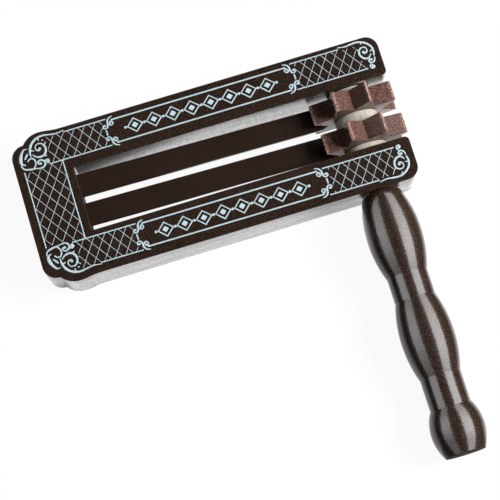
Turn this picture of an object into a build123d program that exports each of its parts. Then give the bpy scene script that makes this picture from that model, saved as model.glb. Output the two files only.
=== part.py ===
"""Wooden ratchet noisemaker: a slotted frame with two springy tongues and a cranked pair of star wheels.

Millimetres. +X runs along the frame's arms from the closed end to the wheels, the handle
points along -Y, and +Z is up, out of the frame's decorated face. The origin is the middle
of the whole noisemaker's outline, level with the lowest wheel tooth.
"""

import os
from math import asin, cos, degrees, radians, sin, tan

from build123d import *

os.makedirs("parts", exist_ok=True)

# Frame: one routed board, closed at one end and open at the other
frame_length = 148.0
frame_width = 59.2
frame_thickness = 20.0
slot_width = 26.0
end_block_length = 22.0
slot_corner_radius = 1.0
arm_outer_radius = 5.0
arm_inner_radius = 1.8
frame_edge_rounding = 0.25

# Plaque corners of the closed end: a quarter round, a notch, a lobe and an ogee
plaque_round_height = 8.0
plaque_notch_across = 5.6
plaque_notch_depth = 2.6
plaque_notch_rounding = 0.5
plaque_lobe_across = 12.5
plaque_lobe_rise = 0.8
plaque_ogee_length = 8.0

# Axle and its bearings
axle_from_open_end = 15.8
axle_radius = 4.0
axle_end_chamfer = 0.6
axle_seat_depth = 11.0
axle_socket_depth = 30.0
axle_end_room = 0.5

# Star wheels and the spacers on either side of them
wheel_teeth = 8
wheel_tip_radius = 17.7
wheel_root_radius = 11.2
wheel_tip_land = 0.8
wheel_width = 8.1
wheel_edge_chamfer = 0.3
wheel_clocking = 4.0
centre_spacer_length = 4.9
spacer_radius = 8.5
spacer_edge_chamfer = 0.3

# Tongues: flat strips let into the closed end, sloping down to the wheels
tongue_width = 9.1
tongue_gap = 2.8
tongue_thickness = 1.9
tongue_tip_thickness = 1.0
tongue_bevel_length = 7.0
tongue_slope = 4.4
tongue_drop = 2.8
tongue_tail_length = 12.0
tongue_tip_to_axle = 13.5
tongue_edge_rounding = 0.25

# Turned handle, measured outwards from the arm's wall
handle_start_radius = 7.7
handle_start_rounding = 1.4
neck_radius = 8.0
first_barrel_radius = 10.75
first_barrel_length = 33.2
first_neck_length = 9.8
second_barrel_radius = 10.45
second_barrel_length = 30.8
second_neck_length = 12.6
knob_shoulder = 0.4
knob_radius = 10.5
knob_length = 18.1
knob_end_radius = 7.8
knob_end_rounding = 0.6

# Brads and pins
brad_radius = 0.8
brad_head_radius = 1.4
brad_head_thickness = 0.8
brad_spacing = 4.8
brad_point_cover = 0.3
pin_radius = 0.75
pin_inner_end = 1.0
pin_set_depth = 0.4

# Clearances
running_gap = 0.08
end_play = 0.3
glue_gap = 0.05

# Sizes that follow from those above
tooth_pitch = 360.0 / wheel_teeth
land_half_angle = degrees(asin(wheel_tip_land / 2 / wheel_tip_radius))
wheel_reach = wheel_tip_radius * cos(radians(tooth_pitch / 2 - wheel_clocking - land_half_angle))
axle_from_closed_end = frame_length - axle_from_open_end
overall_length = max(frame_length, axle_from_closed_end + wheel_reach)
handle_length = (
    first_barrel_length + first_neck_length + second_barrel_length + second_neck_length + knob_length
)
half_frame_width = frame_width / 2
half_slot_width = slot_width / 2
arm_width = half_frame_width - half_slot_width
lobe_edge = half_frame_width + plaque_lobe_rise

# Places in the shared frame
closed_end_x = -overall_length / 2
axle_x = closed_end_x + axle_from_closed_end
axle_z = wheel_reach
frame_bottom_z = axle_z - frame_thickness / 2
slot_centre_y = (end_play + handle_length - plaque_lobe_rise) / 2
upper_arm_inner_y = slot_centre_y + half_slot_width
lower_arm_outer_y = slot_centre_y - half_frame_width
handle_start_y = lower_arm_outer_y - end_play
axle_seat_end_y = upper_arm_inner_y + axle_seat_depth
axle_inner_y = axle_seat_end_y - axle_end_room
axle_outer_y = handle_start_y - axle_socket_depth + axle_end_room
wheel_offset = (centre_spacer_length + wheel_width) / 2
side_spacer_length = half_slot_width - centre_spacer_length / 2 - wheel_width - end_play
tongue_offset = (tongue_gap + tongue_width) / 2
block_face_x = closed_end_x + end_block_length
tongue_root_z = frame_bottom_z + frame_thickness - tongue_drop
tongue_free_length = (
    axle_from_closed_end - end_block_length - tongue_tip_to_axle
) / cos(radians(tongue_slope))
tongue_run = (cos(radians(tongue_slope)), 0, -sin(radians(tongue_slope)))
brad_x = block_face_x - tongue_tail_length / 2
brad_point_z = tongue_root_z + tongue_tail_length / 2 * tan(radians(tongue_slope)) - brad_point_cover
first_neck_start = first_barrel_length
second_barrel_start = first_neck_start + first_neck_length
second_neck_start = second_barrel_start + second_barrel_length
knob_start = second_neck_start + second_neck_length
handle_pin_y = handle_start_y - axle_socket_depth / 2

# The two sides of the slot: places of the tongues, and of the wheels with their turn on the axle
tongue_centres = {
    "upper_tongue": slot_centre_y + tongue_offset,
    "lower_tongue": slot_centre_y - tongue_offset,
}
wheel_places = {
    "upper_ratchet_wheel": (slot_centre_y + wheel_offset, wheel_clocking),
    "lower_ratchet_wheel": (slot_centre_y - wheel_offset, -wheel_clocking),
}
spacer_places = {
    "upper_spacer": (upper_arm_inner_y - end_play, side_spacer_length),
    "centre_spacer": (slot_centre_y + centre_spacer_length / 2, centre_spacer_length),
    "lower_spacer": (slot_centre_y - wheel_offset - wheel_width / 2, side_spacer_length),
}
brad_points = [
    (brad_x, centre_y + side * brad_spacing / 2) for centre_y in tongue_centres.values() for side in (-1, 1)
]


def axle_plane(y):
    """Plane square to the axle at a given y, facing the handle, with its own y upwards."""
    return Plane(origin=(axle_x, y, axle_z), x_dir=(1, 0, 0), z_dir=(0, -1, 0))


def pin_plane(y, turn, start):
    """Plane square to a radial pin that points down, turned about the axle, at a distance from it."""
    out = Vector(0, 0, -1).rotate(Axis.Y, -turn)
    return Plane(origin=Vector(axle_x, y, axle_z) + out * start, z_dir=out)


def tongue_plane(centre_y):
    """Plane along a tongue's side: x runs down the tongue from the block's face, y is its top's normal."""
    side_y = centre_y + tongue_width / 2
    return Plane(origin=(block_face_x, side_y, tongue_root_z), x_dir=tongue_run, z_dir=(0, -1, 0))


# Each pin's place: y along the axle, turn about it, and the radius where the pin ends
pin_places = [(y, turn, wheel_root_radius - pin_set_depth) for y, turn in wheel_places.values()]
handle_pin_place = (handle_pin_y, 0.0, first_barrel_radius - pin_set_depth)

# Frame
with BuildPart() as frame:
    with BuildSketch(Plane(origin=(closed_end_x, slot_centre_y, frame_bottom_z))) as plan:
        with BuildLine():
            notch = (plaque_notch_across, half_frame_width - plaque_notch_depth)
            lobe = (plaque_lobe_across, lobe_edge)
            ogee_middle = (plaque_lobe_across + plaque_ogee_length / 2, half_frame_width + plaque_lobe_rise / 2)
            ogee_end = (plaque_lobe_across + plaque_ogee_length, half_frame_width)
            round_start = (0, half_frame_width - plaque_round_height)
            Line((0, 0), round_start)
            TangentArc(round_start, notch, tangent=(0, 1))
            TangentArc(lobe, notch, tangent=(-1, 0))
            TangentArc(lobe, ogee_middle, tangent=(1, 0))
            TangentArc(ogee_end, ogee_middle, tangent=(-1, 0))
            outer_bend = (frame_length - arm_outer_radius, half_frame_width)
            outer_bend_end = (frame_length, half_frame_width - arm_outer_radius)
            inner_bend = (frame_length, half_slot_width + arm_inner_radius)
            inner_bend_end = (frame_length - arm_inner_radius, half_slot_width)
            slot_bend = (end_block_length + slot_corner_radius, half_slot_width)
            slot_bend_end = (end_block_length, half_slot_width - slot_corner_radius)
            Line(ogee_end, outer_bend)
            TangentArc(outer_bend, outer_bend_end, tangent=(1, 0))
            Line(outer_bend_end, inner_bend)
            TangentArc(inner_bend, inner_bend_end, tangent=(0, -1))
            Line(inner_bend_end, slot_bend)
            TangentArc(slot_bend, slot_bend_end, tangent=(-1, 0))
            Line(slot_bend_end, (end_block_length, 0))
            mirror(about=Plane.XZ)
        make_face()
        notches = [v for v in plan.vertices() if abs(v.X - plaque_notch_across) < plaque_notch_rounding]
        fillet(notches, radius=plaque_notch_rounding)
    extrude(amount=frame_thickness)
    rims = frame.faces().sort_by(Axis.Z)[-1].edges() + frame.faces().sort_by(Axis.Z)[0].edges()
    fillet(rims, radius=frame_edge_rounding)
    # Bearing bore: through the handle's arm, blind in the far arm
    with BuildSketch(axle_plane(axle_seat_end_y)):
        Circle(axle_radius + running_gap)
    extrude(amount=axle_seat_depth + slot_width + arm_width, mode=Mode.SUBTRACT)
    # Mortises that hold the tongues' tails
    for centre_y in tongue_centres.values():
        with BuildSketch(tongue_plane(centre_y).offset(-glue_gap)):
            with Locations((-tongue_tail_length - glue_gap, glue_gap)):
                Rectangle(
                    tongue_tail_length * 2,
                    tongue_thickness + 2 * glue_gap,
                    align=(Align.MIN, Align.MAX),
                )
        extrude(amount=tongue_width + 2 * glue_gap, mode=Mode.SUBTRACT)
    # Brad holes from below, with the heads let in flush
    with BuildSketch(Plane.XY.offset(frame_bottom_z)):
        with Locations(*brad_points):
            Circle(brad_radius + glue_gap)
    extrude(amount=brad_point_z - frame_bottom_z, mode=Mode.SUBTRACT)
    with BuildSketch(Plane.XY.offset(frame_bottom_z)):
        with Locations(*brad_points):
            Circle(brad_head_radius + glue_gap)
    extrude(amount=brad_head_thickness, mode=Mode.SUBTRACT)
frame.part.label = "frame"
export_step(frame.part, "parts/frame.step")

# Tongues
for name, centre_y in tongue_centres.items():
    with BuildPart() as tongue:
        with BuildSketch(tongue_plane(centre_y)):
            with BuildLine():
                Polyline(
                    (-tongue_tail_length, 0),
                    (tongue_free_length, 0),
                    (tongue_free_length, -tongue_tip_thickness),
                    (tongue_free_length - tongue_bevel_length, -tongue_thickness),
                    (-tongue_tail_length, -tongue_thickness),
                    close=True,
                )
            make_face()
        extrude(amount=tongue_width)
        long_edges = tongue.faces().sort_by(Axis.Y)[-1].edges() + tongue.faces().sort_by(Axis.Y)[0].edges()
        fillet(long_edges, radius=tongue_edge_rounding)
        with BuildSketch(Plane.XY.offset(frame_bottom_z)):
            with Locations(*[point for point in brad_points if abs(point[1] - centre_y) < tongue_width / 2]):
                Circle(brad_radius + glue_gap)
        extrude(amount=frame_thickness, mode=Mode.SUBTRACT)
    tongue.part.label = name
    export_step(tongue.part, f"parts/{name}.step")

# Brads that hold the tongues' tails in the closed end
with BuildPart() as tongue_brads:
    with BuildSketch(Plane.XY.offset(frame_bottom_z)):
        with Locations(*brad_points):
            Circle(brad_radius)
    extrude(amount=brad_point_z - frame_bottom_z)
    with BuildSketch(Plane.XY.offset(frame_bottom_z)):
        with Locations(*brad_points):
            Circle(brad_head_radius)
    extrude(amount=brad_head_thickness - glue_gap)
tongue_brads.part.label = "tongue_brads"
export_step(tongue_brads.part, "parts/tongue_brads.step")

# Axle, drilled for the pins
with BuildPart() as axle:
    with BuildSketch(axle_plane(axle_inner_y)):
        Circle(axle_radius)
    extrude(amount=axle_inner_y - axle_outer_y)
    ends = axle.faces().sort_by(Axis.Y)[0].edges() + axle.faces().sort_by(Axis.Y)[-1].edges()
    chamfer(ends, length=axle_end_chamfer)
    for y, turn, _ in pin_places + [handle_pin_place]:
        with BuildSketch(pin_plane(y, turn, pin_inner_end - glue_gap)):
            Circle(pin_radius + glue_gap)
        extrude(amount=axle_radius, mode=Mode.SUBTRACT)
axle.part.label = "axle"
export_step(axle.part, "parts/axle.step")

# Star wheels
for name, (centre_y, turn) in wheel_places.items():
    with BuildPart() as wheel:
        with BuildSketch(axle_plane(centre_y + wheel_width / 2)):
            with BuildLine():
                star = []
                for tooth in range(wheel_teeth):
                    root_angle = turn + tooth * tooth_pitch
                    tip_angle = root_angle + tooth_pitch / 2
                    star.append(Vector(wheel_root_radius, 0).rotate(Axis.Z, root_angle))
                    star.append(Vector(wheel_tip_radius, 0).rotate(Axis.Z, tip_angle - land_half_angle))
                    star.append(Vector(wheel_tip_radius, 0).rotate(Axis.Z, tip_angle + land_half_angle))
                Polyline(*star, close=True)
            make_face()
        extrude(amount=wheel_width)
        rims = wheel.faces().sort_by(Axis.Y)[-1].edges() + wheel.faces().sort_by(Axis.Y)[0].edges()
        chamfer(rims, length=wheel_edge_chamfer)
        with BuildSketch(axle_plane(centre_y + wheel_width / 2)):
            Circle(axle_radius + glue_gap)
        extrude(amount=wheel_width, mode=Mode.SUBTRACT)
        with BuildSketch(pin_plane(centre_y, turn, axle_radius)):
            Circle(pin_radius + glue_gap)
        extrude(amount=wheel_tip_radius, mode=Mode.SUBTRACT)
    wheel.part.label = name
    export_step(wheel.part, f"parts/{name}.step")

# Spacers that keep the wheels apart and off the arms
for name, (start_y, length) in spacer_places.items():
    with BuildPart() as spacer:
        with BuildSketch(axle_plane(start_y)):
            Circle(spacer_radius)
        extrude(amount=length)
        rims = spacer.faces().sort_by(Axis.Y)[-1].edges() + spacer.faces().sort_by(Axis.Y)[0].edges()
        chamfer(rims, length=spacer_edge_chamfer)
        with BuildSketch(axle_plane(start_y)):
            Circle(axle_radius + glue_gap)
        extrude(amount=length, mode=Mode.SUBTRACT)
    spacer.part.label = name
    export_step(spacer.part, f"parts/{name}.step")

# Pins that hold the wheels on the axle
with BuildPart() as wheel_pins:
    for y, turn, outer_end in pin_places:
        with BuildSketch(pin_plane(y, turn, pin_inner_end)):
            Circle(pin_radius)
        extrude(amount=outer_end - pin_inner_end)
wheel_pins.part.label = "wheel_pins"
export_step(wheel_pins.part, "parts/wheel_pins.step")

# Handle: barrel, neck, barrel, neck and knob, turned in one piece
with BuildPart() as handle:
    handle_plane = Plane(origin=(axle_x, handle_start_y, axle_z), x_dir=(0, -1, 0), z_dir=(0, 0, 1))
    with BuildSketch(handle_plane):
        with BuildLine():
            Line((0, 0), (0, handle_start_radius))
            ThreePointArc(
                (0, handle_start_radius),
                (first_barrel_length / 2, first_barrel_radius),
                (first_neck_start, neck_radius),
            )
            Line((first_neck_start, neck_radius), (second_barrel_start, neck_radius))
            ThreePointArc(
                (second_barrel_start, neck_radius),
                (second_barrel_start + second_barrel_length / 2, second_barrel_radius),
                (second_neck_start, neck_radius),
            )
            Line((second_neck_start, neck_radius), (knob_start, neck_radius))
            Line((knob_start, neck_radius), (knob_start, neck_radius + knob_shoulder))
            ThreePointArc(
                (knob_start, neck_radius + knob_shoulder),
                (knob_start + knob_length / 2, knob_radius),
                (handle_length, knob_end_radius),
            )
            Line((handle_length, knob_end_radius), (handle_length, 0))
            Line((handle_length, 0), (0, 0))
        make_face()
    revolve(axis=Axis((axle_x, handle_start_y, axle_z), (0, -1, 0)))
    fillet(handle.faces().sort_by(Axis.Y)[-1].edges(), radius=handle_start_rounding)
    fillet(handle.faces().sort_by(Axis.Y)[0].edges(), radius=knob_end_rounding)
    with BuildSketch(axle_plane(handle_start_y)):
        Circle(axle_radius + glue_gap)
    extrude(amount=axle_socket_depth, mode=Mode.SUBTRACT)
    with BuildSketch(pin_plane(handle_pin_y, 0.0, axle_radius)):
        Circle(pin_radius + glue_gap)
    extrude(amount=first_barrel_radius, mode=Mode.SUBTRACT)
handle.part.label = "handle"
export_step(handle.part, "parts/handle.step")

# Pin that holds the handle on the axle, driven from below
with BuildPart() as handle_pin:
    pin_y, pin_turn, pin_outer_end = handle_pin_place
    with BuildSketch(pin_plane(pin_y, pin_turn, pin_inner_end)):
        Circle(pin_radius)
    extrude(amount=pin_outer_end - pin_inner_end)
handle_pin.part.label = "handle_pin"
export_step(handle_pin.part, "parts/handle_pin.step")
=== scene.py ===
"""Looks of a wooden ratchet noisemaker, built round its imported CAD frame.

Metres, in the CAD part's own frame: +X runs along the arms from the closed end to the star wheels,
the handle points along -Y and +Z is up, out of the printed face.
"""

from functools import partial
from math import cos, pi, radians, sin, tan

import bmesh
import bpy
from bpy.props import FloatProperty, FloatVectorProperty, IntProperty, PointerProperty
from mathutils import Matrix, Vector


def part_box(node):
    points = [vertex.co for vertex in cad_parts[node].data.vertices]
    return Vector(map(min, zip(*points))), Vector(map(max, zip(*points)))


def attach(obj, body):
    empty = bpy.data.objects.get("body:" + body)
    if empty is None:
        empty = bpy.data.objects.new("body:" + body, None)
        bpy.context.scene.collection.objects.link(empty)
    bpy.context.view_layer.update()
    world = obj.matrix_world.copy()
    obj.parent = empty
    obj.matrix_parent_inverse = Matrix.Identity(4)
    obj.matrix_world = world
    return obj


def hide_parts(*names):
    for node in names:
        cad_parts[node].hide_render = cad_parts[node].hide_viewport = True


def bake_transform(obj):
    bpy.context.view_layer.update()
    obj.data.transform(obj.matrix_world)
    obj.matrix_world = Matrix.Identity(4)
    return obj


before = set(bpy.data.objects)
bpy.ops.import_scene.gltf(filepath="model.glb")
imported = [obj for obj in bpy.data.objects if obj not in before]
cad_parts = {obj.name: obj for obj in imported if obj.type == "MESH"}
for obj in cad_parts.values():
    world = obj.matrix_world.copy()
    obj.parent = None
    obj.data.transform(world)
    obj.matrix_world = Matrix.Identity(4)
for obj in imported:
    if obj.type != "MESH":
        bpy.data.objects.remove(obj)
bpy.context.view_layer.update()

bl_info = {
    "name": "Ratchet Noisemaker",
    "version": (1, 0, 0),
    "blender": (4, 5, 0),
    "location": "3D View > Sidebar > Noisemaker",
    "description": "Dresses the packed ratchet noisemaker with lacquer, stain, print, tongues and a studio",
    "category": "Object",
}

MM = 0.001

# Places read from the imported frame
frame_low, frame_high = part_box("frame")
axle_low, axle_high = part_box("axle")
handle_low, handle_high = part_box("handle")
wheel_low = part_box("lower_ratchet_wheel")[0]
closed_x = frame_low.x
top_z = frame_high.z
slot_y = (frame_low.y + frame_high.y) / 2
axle_x = (axle_low.x + axle_high.x) / 2
axle_z = (axle_low.z + axle_high.z) / 2


def linear(hex_colour):
    """An sRGB hex colour as linear red, green and blue."""
    channels = [int(hex_colour[i : i + 2], 16) / 255 for i in (1, 3, 5)]
    return tuple(c / 12.92 if c <= 0.04045 else ((c + 0.055) / 1.055) ** 2.4 for c in channels)


def rgba(colour):
    """A colour setting with full opacity, as node sockets take it."""
    return (*colour, 1.0)


def per_metre(size_mm):
    """Texture scale at which one feature of a pattern is this many millimetres."""
    return 1.0 / (size_mm * MM)


def length_setting(name, description, millimetres):
    """A length that a user may change, given in millimetres."""
    length = millimetres * MM
    return FloatProperty(name=name, description=description, default=length, unit="LENGTH", precision=5)


def number_setting(name, description, number, subtype="NONE"):
    """A number that a user may change."""
    return FloatProperty(name=name, description=description, default=number, subtype=subtype)


def count_setting(name, description, count):
    """A count that a user may change."""
    return IntProperty(name=name, description=description, default=count, min=2)


def colour_setting(name, description, hex_colour):
    """A colour that a user may change, given as an sRGB hex value."""
    return FloatVectorProperty(
        name=name, description=description, default=linear(hex_colour), subtype="COLOR", min=0.0, max=1.0
    )


class FinishSettings(bpy.types.PropertyGroup):
    """Colours of the noisemaker's finishes."""

    lacquer: colour_setting("Lacquer", "Brown of the glossy lacquer", "#1F150F")
    lacquer_thin: colour_setting("Thin lacquer", "Lacquer where it lies thin over the wood", "#49382F")
    end_grain: colour_setting("End grain", "Dull lacquer on the sawn end of the knob", "#33241C")
    # The rubbed rim colour is a painted warm glint on the handle's rim next to the arm, coloured like bare
    # wood
    painted_rim_glint: colour_setting("Rubbed rim", "Wood that shows where the handle rubs the arm", "#A5673F")
    stain: colour_setting("Stain", "Red brown of the star wheels", "#785950")
    stain_dark: colour_setting("Stain in pores", "Stain where it sinks into the grain", "#3E2A25")
    # Worn teeth: pale tips, partly wear and partly a painted highlight on their edges
    stain_tip_wear_and_highlight: colour_setting("Worn teeth", "Stain rubbed pale on the tips of the teeth", "#BC978A")
    bare_wood: colour_setting("Bare wood", "Sanded wood of the spacers", "#BAB2A7")
    bare_grain: colour_setting("Bare grain", "Darker grain of the sanded wood", "#9D9489")
    ink: colour_setting("Ink", "Pale silver of the print", "#C6DCE4")
    steel: colour_setting("Steel", "Brads and pins", "#B9BCBF")


class PrintSettings(bpy.types.PropertyGroup):
    """Sizes of the printed ornament."""

    lattice_width: length_setting("Diamond width", "Width of one lattice diamond along the arm", 4.2)
    lattice_height: length_setting("Diamond height", "Height of one lattice diamond across the arm", 6.1)
    lattice_line: length_setting("Lattice line", "Width of a lattice line", 0.2)
    lattice_count: count_setting("Lattice lines", "Lines of each slant laid over an area", 26)
    lozenge_pitch: length_setting("Lozenge pitch", "Spacing of the lozenges in the long panels", 7.6)
    lozenge_count: count_setting("Lozenges", "Lozenges in each long panel", 8)
    lozenge_width: length_setting("Lozenge width", "Length of a lozenge along the panel", 6.0)
    lozenge_height: length_setting("Lozenge height", "Height of a lozenge across the panel", 5.6)
    lozenge_line: length_setting("Lozenge line", "Width of a lozenge's outline", 0.7)
    lozenge_dot: length_setting("Dot", "Diameter of the dots between the lozenges", 1.1)
    ink_height: number_setting("Ink height", "Height of the ink as a share of a line's width", 0.1, "FACTOR")


class TongueSettings(bpy.types.PropertyGroup):
    """Sizes of the springy tongues."""

    width: length_setting("Width", "Width of a tongue", 9.1)
    thickness: length_setting("Thickness", "Thickness of a tongue", 1.9)
    tip_thickness: length_setting("Tip thickness", "Thickness at the tip, under the bevel", 1.0)
    bevel: length_setting("Bevel", "Length of the bevel under the tip", 7.0)
    rounding: length_setting("Rounding", "Rounding of the long edges", 0.25)
    tail: length_setting("Tail", "Length of the tail inside the closed end", 12.0)
    bend: length_setting("Bend", "Length over which a tongue bends, from the closed end", 48.0)
    slope: number_setting("Slope", "Fall towards the wheels", radians(4.4), "ANGLE")


class StageSettings(bpy.types.PropertyGroup):
    """Table, lamps and camera."""

    table: colour_setting("Table", "Colour of the table", "#F2F2F2")
    key: number_setting("Key lamp", "Light of the key lamp, as a share of plain white", 1.6)
    fill: number_setting("Fill lamp", "Light of the fill lamp, as a share of plain white", 0.05)
    right_panel: number_setting("Right panel", "Brightness of the right panel in gloss", 5.75)
    left_panel: number_setting("Left panel", "Brightness of the left panel in gloss", 2.75)
    lens: number_setting("Lens", "Focal length", 129.6, "DISTANCE_CAMERA")


def add_node(tree, kind, links=None, **settings):
    """Adds one node, sets its properties, and sets or links its inputs. A node that is given to an input is
    linked by its first output, and a list is linked item by item."""
    node = tree.nodes.new(kind)
    for name, value in settings.items():
        setattr(node, name, value)
    for name, value in (links or {}).items():
        for item in value if isinstance(value, list) else [value]:
            if isinstance(item, bpy.types.Node):
                item = next(socket for socket in item.outputs if socket.enabled)
            if isinstance(item, bpy.types.NodeSocket):
                tree.links.new(item, node.inputs[name])
            else:
                node.inputs[name].default_value = item
    return node


def start_material(name):
    """A new material with an empty tree, and the function that adds nodes to it."""
    material = bpy.data.materials.new(name)
    material.use_nodes = True
    material.node_tree.nodes.clear()
    return material, partial(add_node, material.node_tree)


# Index of refraction of lacquer, wood and ink
FINISH_IOR = 1.5

# Brown spray lacquer over a sanded board. It is nearly black and mirrors the light panels with sharp
# edges. Its orange peel breaks those edges, specks of thin lacquer lighten the dark, and streaks, marks
# and specks dull the gloss. Peel, marks and specks are drawn coarser than they are, so that they show.
# Each noise has the size of one feature in millimetres, its detail, and the way it is stretched.
LACQUER_NOISES = {
    "cloud": (30.0, 2.0, "even"),
    "peel": (0.6, 2.0, "even"),
    "specks": (0.4, 1.0, "even"),
    "grain": (0.7, 4.0, "grain"),
    "streaks": (1.8, 3.0, "grain"),
    "marks": (0.8, 2.0, "upright"),
}
GRAIN_STRETCH = 12.0
MARK_STRETCH = 5.0
PEEL_HEIGHT_MM = 0.028
CLOUD_SHARE = 0.2
HAZE_LOW = 0.8
HAZE_HIGH = 1.2
SPECK_FROM = 0.5
SPECK_TO = 0.64
DULL_FROM = 0.35
DULL_TO = 0.6
STREAK_SHARE = 0.3
MARK_SHARE = 0.3
SPECK_SHARE = 0.25
COAT_ROUGHNESS = 0.03
SAWN_DEPTH_MM = 0.35
SAWN_ROUGHNESS = 0.8
# Painted warm glint on the handle's rim next to the arm: its depth along the handle and its strength
RIM_GLINT_DEPTH_MM = 0.6
RIM_GLINT_SHARE = 0.5
# How strong the specks and the grain are on each piece, and the haze under its coat
FRAME_LACQUER = {"grain_axis": "X", "speckle": 0.6, "haze": 0.19, "grain_share": 1.6}
HANDLE_LACQUER = {"grain_axis": "Y", "speckle": 0.9, "haze": 0.25, "grain_share": 0.4}
TONGUE_LACQUER = {"grain_axis": "X", "speckle": 0.2, "haze": 0.12, "grain_share": 0.8}


def lacquer_material(name, finish, grain_axis, speckle, haze, grain_share, ends=None):
    """Brown lacquer with grain along one axis. Haze is the roughness under the coat, and ends gives the y
    of a dull sawn end and of a rim with a painted warm glint."""
    material, add = start_material(name)
    place = add("ShaderNodeTexCoord").outputs["Object"]
    along_grain = tuple(1.0 / GRAIN_STRETCH if axis == grain_axis else 1.0 for axis in "XYZ")
    ways = {"even": (1.0, 1.0, 1.0), "grain": along_grain, "upright": (1.0, 1.0, 1.0 / MARK_STRETCH)}
    noises = {}
    for label, (size_mm, detail, way) in LACQUER_NOISES.items():
        stretched = add("ShaderNodeMapping", {"Vector": place, "Scale": ways[way]})
        links = {"Vector": stretched, "Scale": per_metre(size_mm), "Detail": detail}
        noises[label] = add("ShaderNodeTexNoise", links)
    links = {"Value": noises["specks"], "From Min": SPECK_FROM, "From Max": SPECK_TO, "To Max": speckle}
    thin = add("ShaderNodeMapRange", links)
    tint = add("ShaderNodeMath", {0: noises["cloud"], 1: CLOUD_SHARE, 2: thin}, operation="MULTIPLY_ADD")
    links = {"Factor": tint, "A": rgba(finish.lacquer), "B": rgba(finish.lacquer_thin)}
    colour = add("ShaderNodeMix", links, data_type="RGBA")
    links = {"Value": noises["cloud"], "To Min": HAZE_LOW * haze, "To Max": HAZE_HIGH * haze}
    rough = add("ShaderNodeMapRange", links)
    gloss = 1.0
    dulls = {"streaks": STREAK_SHARE * grain_share, "marks": MARK_SHARE * grain_share, "specks": SPECK_SHARE}
    for label, share in dulls.items():
        links = {"Value": noises[label], "From Min": DULL_FROM, "From Max": DULL_TO, "To Min": 1.0 - share}
        kept = add("ShaderNodeMapRange", links)
        gloss = add("ShaderNodeMath", {0: gloss, 1: kept}, operation="MULTIPLY")
    if ends:
        sawn_y, rim_y = ends
        along = add("ShaderNodeSeparateXYZ", {"Vector": place}).outputs["Y"]
        sawn_from = sawn_y + SAWN_DEPTH_MM * MM
        sawn = add("ShaderNodeMapRange", {"Value": along, "From Min": sawn_from, "From Max": sawn_y})
        # A painted warm glint on the rim next to the arm, coloured like rubbed bare wood
        glint_from = rim_y - RIM_GLINT_DEPTH_MM * MM
        links = {"Value": along, "From Min": glint_from, "From Max": rim_y, "To Max": RIM_GLINT_SHARE}
        rim_glint = add("ShaderNodeMapRange", links)
        for share, tone in ((sawn, finish.end_grain), (rim_glint, finish.painted_rim_glint)):
            colour = add("ShaderNodeMix", {"Factor": share, "A": colour, "B": rgba(tone)}, data_type="RGBA")
        rough = add("ShaderNodeMix", {"Factor": sawn, "A": rough, "B": SAWN_ROUGHNESS}, data_type="FLOAT")
        gloss = add("ShaderNodeMix", {"Factor": sawn, "A": gloss, "B": 0.0}, data_type="FLOAT")
    links = {0: noises["grain"], 1: grain_share, 2: noises["peel"]}
    height = add("ShaderNodeMath", links, operation="MULTIPLY_ADD")
    bump = add("ShaderNodeBump", {"Height": height, "Distance": PEEL_HEIGHT_MM * MM})
    shader = add(
        "ShaderNodeBsdfPrincipled",
        {
            "Base Color": colour,
            "Roughness": rough,
            "IOR": FINISH_IOR,
            "Normal": bump,
            "Coat Weight": gloss,
            "Coat Roughness": COAT_ROUGHNESS,
            "Coat IOR": FINISH_IOR,
            "Coat Normal": bump,
        },
    )
    add("ShaderNodeOutputMaterial", {"Surface": shader})
    return material


def mottle(add, place, size_mm, detail, start, end, tones):
    """A noise, the share of the second tone over a range of that noise, and the two tones mixed by it."""
    noise = add("ShaderNodeTexNoise", {"Vector": place, "Scale": per_metre(size_mm), "Detail": detail})
    share = add("ShaderNodeMapRange", {"Value": noise, "From Min": start, "From Max": end})
    first, second = map(rgba, tones)
    return noise, share, add("ShaderNodeMix", {"Factor": share, "A": first, "B": second}, data_type="RGBA")


# Stained beech, sanded and wiped with a red brown stain. Open pores take more colour and stay dark,
# while the tips of the teeth are pale, partly rubbed and partly a painted highlight. Pores are drawn coarser
# than they are, so that they show.
PORES = {"size_mm": 0.5, "detail": 2.0, "start": 0.36, "end": 0.6}
PORE_HEIGHT_MM = 0.06
# Radii over which the tips turn pale: partly wear, partly a painted highlight
PALE_TIP_FROM_MM = 16.6
PALE_TIP_TO_MM = 17.7
STAIN_ROUGHNESS = 0.2
STAIN_GLOSS = 0.12


def stain_material(name, finish):
    """Stained beech for the star wheels, pale where it is furthest from the axle: partly wear and partly a
    painted highlight on the tips of the teeth.
    """
    material, add = start_material(name)
    place = add("ShaderNodeTexCoord").outputs["Object"]
    pores, depth, colour = mottle(add, place, **PORES, tones=(finish.stain_dark, finish.stain))
    out = add("ShaderNodeVectorMath", {0: place, 1: (axle_x, 0.0, axle_z)}, operation="SUBTRACT")
    out = add("ShaderNodeVectorMath", {0: out, 1: (1.0, 0.0, 1.0)}, operation="MULTIPLY")
    radius = add("ShaderNodeVectorMath", {0: out}, operation="LENGTH")
    # Pale tips: partly wear, partly a painted highlight
    links = {"Value": radius, "From Min": PALE_TIP_FROM_MM * MM, "From Max": PALE_TIP_TO_MM * MM}
    pale_tip = add("ShaderNodeMapRange", links)
    pale_tip = add("ShaderNodeMath", {0: pale_tip, 1: depth}, operation="MULTIPLY")
    links = {"Factor": pale_tip, "A": colour, "B": rgba(finish.stain_tip_wear_and_highlight)}
    colour = add("ShaderNodeMix", links, data_type="RGBA")
    bump = add("ShaderNodeBump", {"Height": pores, "Distance": PORE_HEIGHT_MM * MM})
    links = {"Base Color": colour, "Roughness": STAIN_ROUGHNESS, "IOR": FINISH_IOR}
    links.update({"Specular IOR Level": STAIN_GLOSS, "Normal": bump})
    shader = add("ShaderNodeBsdfPrincipled", links)
    add("ShaderNodeOutputMaterial", {"Surface": shader})
    return material


# Bare sanded beech. It is pale and dull, with short darker flecks along the axle.
FLECKS = {"size_mm": 0.7, "detail": 3.0, "start": 0.4, "end": 0.75}
FLECK_STRETCH = 6.0
FLECK_HEIGHT_MM = 0.03
BARE_ROUGHNESS = 0.65


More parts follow.
